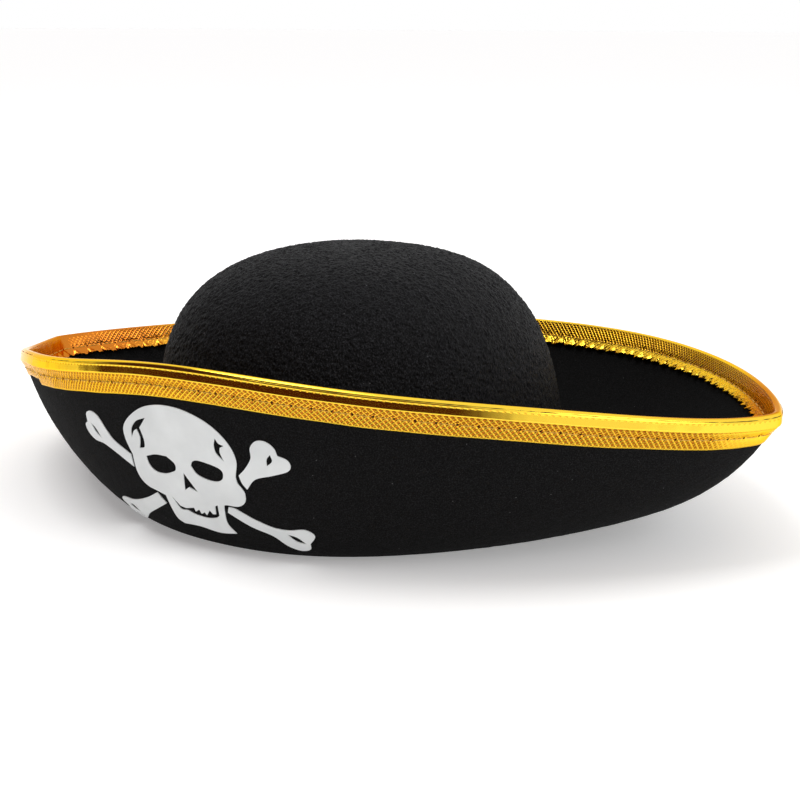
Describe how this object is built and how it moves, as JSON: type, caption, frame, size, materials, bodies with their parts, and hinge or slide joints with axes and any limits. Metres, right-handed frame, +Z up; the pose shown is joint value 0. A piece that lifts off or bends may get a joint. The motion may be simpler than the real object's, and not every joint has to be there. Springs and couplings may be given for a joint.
{
  "type": "pirate hat",
  "caption": "Costume pirate hat in black felt: domed crown, upturned two-tipped brim bound with gold ribbon, white skull and bones print on the front.",
  "frame": {"origin": "centre of the head opening, on the plane of the brim's ledge that the hat rests on", "axes": "+Z up through the crown; the wearer faces -Y, where the print is; +X and -X point to the brim's two tips"},
  "size_m": [0.3766, 0.2864, 0.108],
  "materials": {
    "crown_felt": "coarse needled wool-look felt, matt black",
    "brim_felt": "smooth pressed felt, matt black",
    "gold_ribbon": "woven metallic gold ribbon, bright",
    "thread": "golden sewing thread",
    "black_thread": "black sewing thread",
    "print_film": "flat off-white transfer film, satin",
    "sweatband": "black grosgrain band"
  },
  "bodies": {
    "root": {"crown_felt": "crown_felt", "brim_felt": "brim_felt", "gold_binding": "gold_ribbon", "binding_needle_thread": "thread", "binding_bobbin_thread": "thread", "skull_print": "print_film", "bone_print_upper_left": "print_film", "bone_print_upper_right": "print_film", "bone_print_lower_left": "print_film", "bone_print_lower_right": "print_film", "sweatband": "sweatband", "sweatband_stitches": "black_thread", "crown_seam_stitches": "black_thread"}
  },
  "joints": []
}
